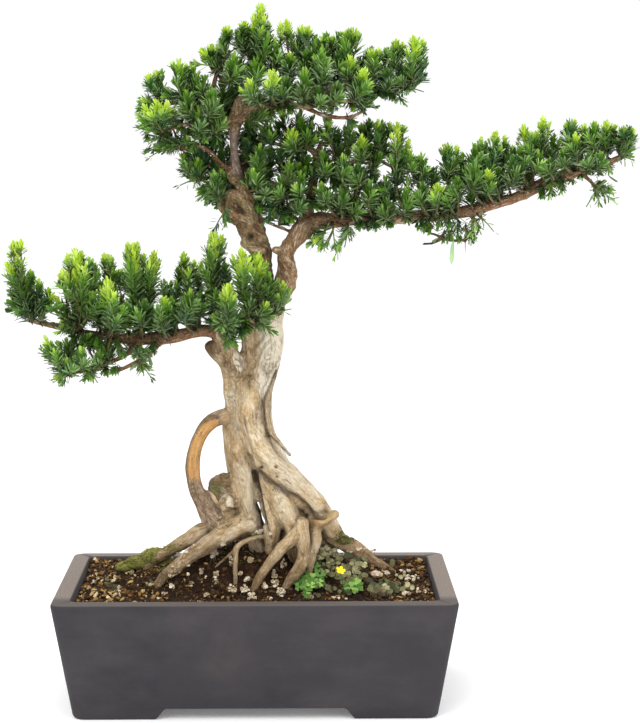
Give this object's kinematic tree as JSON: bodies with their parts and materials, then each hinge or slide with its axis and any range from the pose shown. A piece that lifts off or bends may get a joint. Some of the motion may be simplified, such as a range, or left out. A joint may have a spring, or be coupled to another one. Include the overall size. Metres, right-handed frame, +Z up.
{
  "type": "buddhist pine bonsai",
  "caption": "Leaning bonsai tree with bare twisted trunk, arched surface root and tiered sprays of narrow leaves, grown in a shallow rectangular unglazed clay pot with corner feet.",
  "frame": {"origin": "on the ground under the middle of the whole object's bounding box", "axes": "+Z up from the feet to the top of the crown, +X along the pot's long side towards the long right branch, +Y towards the back"},
  "size_m": [0.674, 0.2494, 0.7387],
  "materials": {
    "pot_clay": "unglazed, matt, purplish grey-brown stoneware",
    "soil": "granular potting soil, dark brown with pale chips",
    "bark": "fluted weathered bark with pale bare wood",
    "screen_mesh": "black plastic mesh",
    "sorrel_leaf": "soft thin leaf, satin",
    "petal": "thin silky petal",
    "dry_leaf": "dry papery leaf, matt",
    "pebble": "worn pale pebble",
    "leaf_dark": "leathery old leaf, satin to glossy",
    "leaf_green": "leathery leaf, satin to glossy",
    "leaf_fresh": "soft new leaf, satin"
  },
  "bodies": {
    "root": {"pot": "pot_clay", "soil": "soil", "wood": "bark", "drain_screen_left": "screen_mesh", "drain_screen_right": "screen_mesh", "wood_sorrel": "sorrel_leaf", "sorrel_flower": "petal", "dry_creeper_left": "dry_leaf", "dry_creeper_front": "dry_leaf", "stone": "pebble", "spray_left_tip": "leaf_fresh", "spray_left_a": "leaf_fresh", "spray_left_b": "leaf_fresh", "spray_left_c": "leaf_green", "spray_left_d": "leaf_dark", "spray_left_e": "leaf_fresh", "spray_left_f": "leaf_green", "spray_left_g": "leaf_green", "spray_left_h": "leaf_fresh", "spray_left_i": "leaf_green", "spray_left_low_a": "leaf_green", "spray_left_low_b": "leaf_green", "spray_left_low_c": "leaf_dark", "spray_crown_a": "leaf_dark", "spray_crown_b": "leaf_fresh", "spray_crown_c": "leaf_green", "spray_crown_d": "leaf_dark", "spray_crown_e": "leaf_fresh", "spray_crown_f": "leaf_fresh", "spray_crown_g": "leaf_fresh", "spray_crown_h": "leaf_green", "spray_crown_i": "leaf_green", "spray_crown_j": "leaf_green", "spray_crown_k": "leaf_dark", "spray_crown_l": "leaf_green", "spray_crown_m": "leaf_dark", "spray_crown_n": "leaf_green", "spray_mid_a": "leaf_dark", "spray_mid_b": "leaf_dark", "spray_mid_c": "leaf_dark", "spray_mid_d": "leaf_dark", "spray_mid_e": "leaf_dark", "spray_mid_f": "leaf_green", "spray_mid_g": "leaf_green", "spray_mid_h": "leaf_green", "spray_mid_i": "leaf_green", "spray_mid_j": "leaf_dark", "spray_mid_k": "leaf_fresh", "spray_mid_l": "leaf_green", "spray_mid_m": "leaf_green", "spray_right_a": "leaf_dark", "spray_right_b": "leaf_green", "spray_right_c": "leaf_green", "spray_right_d": "leaf_fresh", "spray_right_e": "leaf_green", "spray_right_f": "leaf_green", "spray_right_g": "leaf_green", "spray_right_h": "leaf_green", "spray_right_i": "leaf_green", "spray_right_j": "leaf_dark"}
  },
  "joints": []
}
